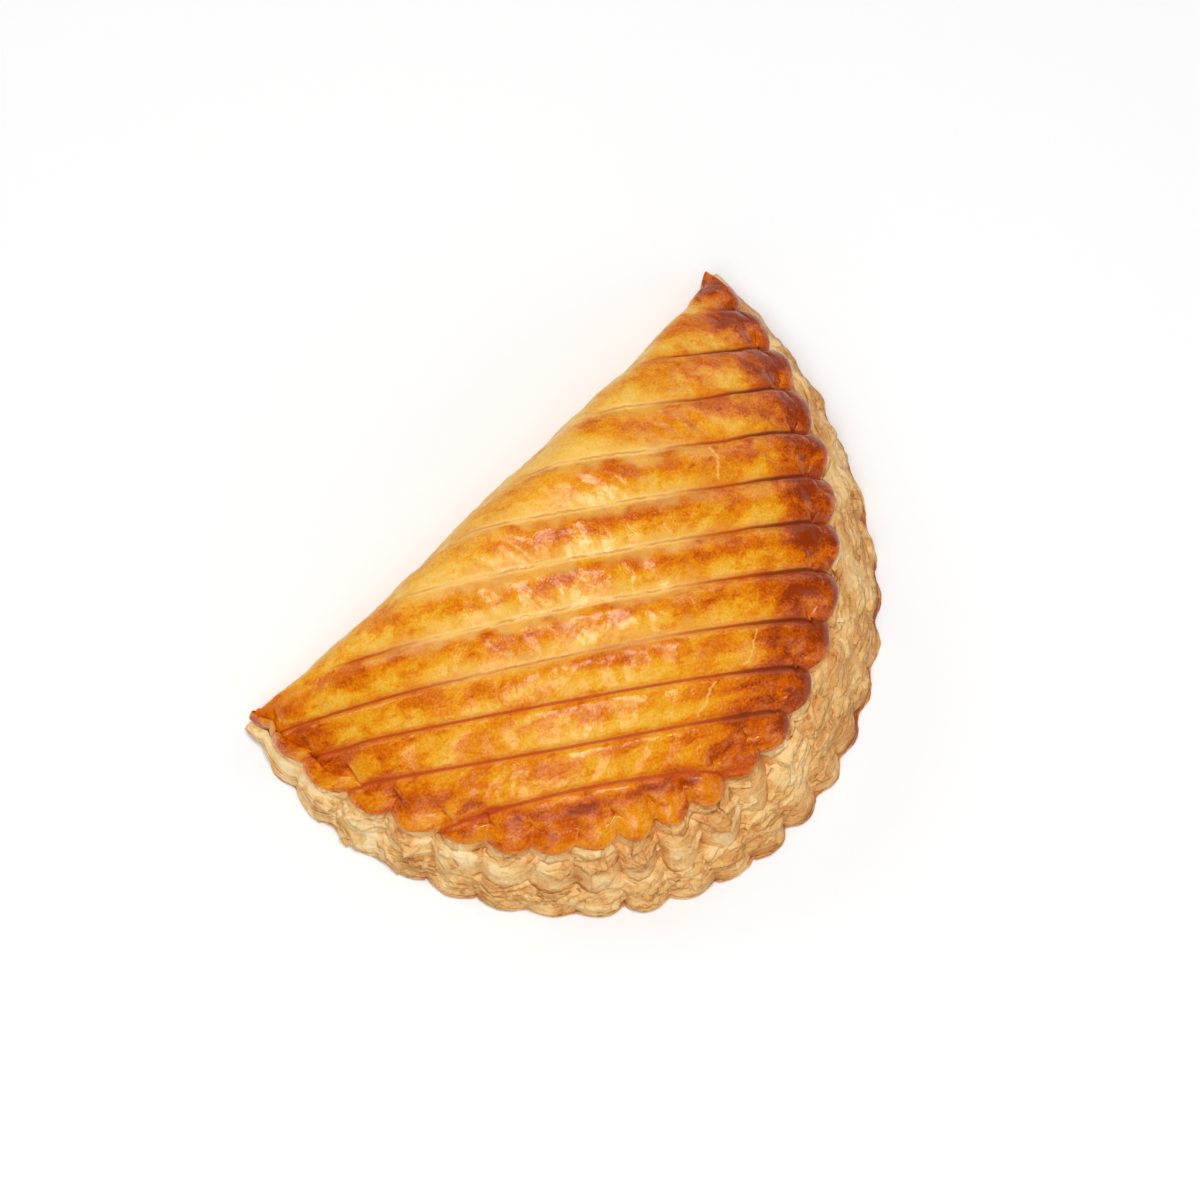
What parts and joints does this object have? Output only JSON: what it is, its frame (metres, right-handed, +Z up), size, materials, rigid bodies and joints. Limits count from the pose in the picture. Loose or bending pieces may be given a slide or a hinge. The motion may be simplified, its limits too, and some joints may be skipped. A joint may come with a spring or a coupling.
{
  "type": "apple turnover",
  "caption": "Half-moon apple turnover of puff pastry with a scalloped rim, pale flaky sides and a glazed, domed top scored with slanting lines.",
  "frame": {"origin": "centre of the bounding box at the flat base", "axes": "+X along the fold towards the right corner, +Y towards the fold, +Z up from the base"},
  "size_m": [0.1524, 0.101, 0.038],
  "materials": {
    "golden_crust": "baked puff pastry with a glossy egg glaze",
    "pale_leaves": "matt, flaky baked pastry leaves"
  },
  "bodies": {
    "root": {"pastry": "golden_crust"}
  },
  "joints": []
}
